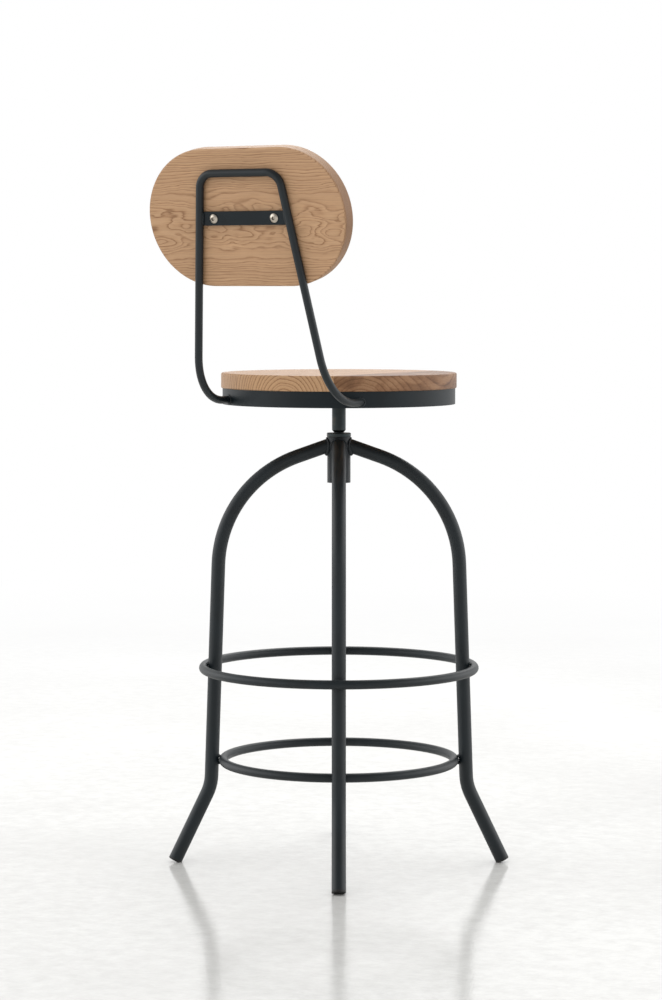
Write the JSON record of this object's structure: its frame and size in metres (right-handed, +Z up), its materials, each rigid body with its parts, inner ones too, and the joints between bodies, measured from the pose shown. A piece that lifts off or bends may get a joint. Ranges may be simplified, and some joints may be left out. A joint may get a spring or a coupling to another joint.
{
  "type": "bar stool",
  "caption": "Swivel bar stool: round wooden seat on a threaded spindle that lifts as it turns, bent-rod back frame with a wooden backrest, bent tube legs and ring footrests.",
  "frame": {"origin": "on the floor, on the axis that the seat turns about", "axes": "+Z up, the sitter faces -Y, backrest on the +Y side"},
  "size_m": [0.4348, 0.5, 1.0296],
  "materials": {
    "black_steel": "satin black powder coat",
    "dark_screw_steel": "oiled black oxide",
    "cap_plastic": "moulded",
    "ash_wood": "clear satin lacquer",
    "zinc_screw": "bright zinc"
  },
  "bodies": {
    "base": {"hub_sleeve": "black_steel", "upper_nut": "dark_screw_steel", "lower_nut": "dark_screw_steel", "leg_1": "black_steel", "leg_2": "black_steel", "leg_3": "black_steel", "leg_4": "black_steel", "foot_cap_1": "cap_plastic", "foot_cap_2": "cap_plastic", "foot_cap_3": "cap_plastic", "foot_cap_4": "cap_plastic", "footrest_ring": "black_steel", "brace_ring": "black_steel"},
    "lift": {"stop_washer": "dark_screw_steel"},
    "seat": {"spindle": "dark_screw_steel", "stop_screw": "zinc_screw", "seat_hoop": "black_steel", "seat_bar_long": "black_steel", "seat_bar_short_1": "black_steel", "seat_bar_short_2": "black_steel", "seat_panel": "ash_wood", "seat_screws": "zinc_screw", "back_frame": "black_steel", "back_crossbar": "black_steel", "backrest": "ash_wood", "backrest_screws": "zinc_screw", "backrest_inserts": "zinc_screw"}
  },
  "joints": [
    {"name": "seat_lift", "type": "slide", "parent": "base", "child": "lift", "axis": [0, 0, 1], "range_m": [0, 0.15391]},
    {"name": "seat_turn", "type": "hinge", "parent": "lift", "child": "seat", "pos_m": [0, 0, 0.4], "axis": [0, 0, 1], "range_deg": [0, 9630]}
  ],
  "couplings": [
    {"joint": "seat_lift", "follows": "seat_turn", "m_per_rad": 0.00091514}
  ]
}
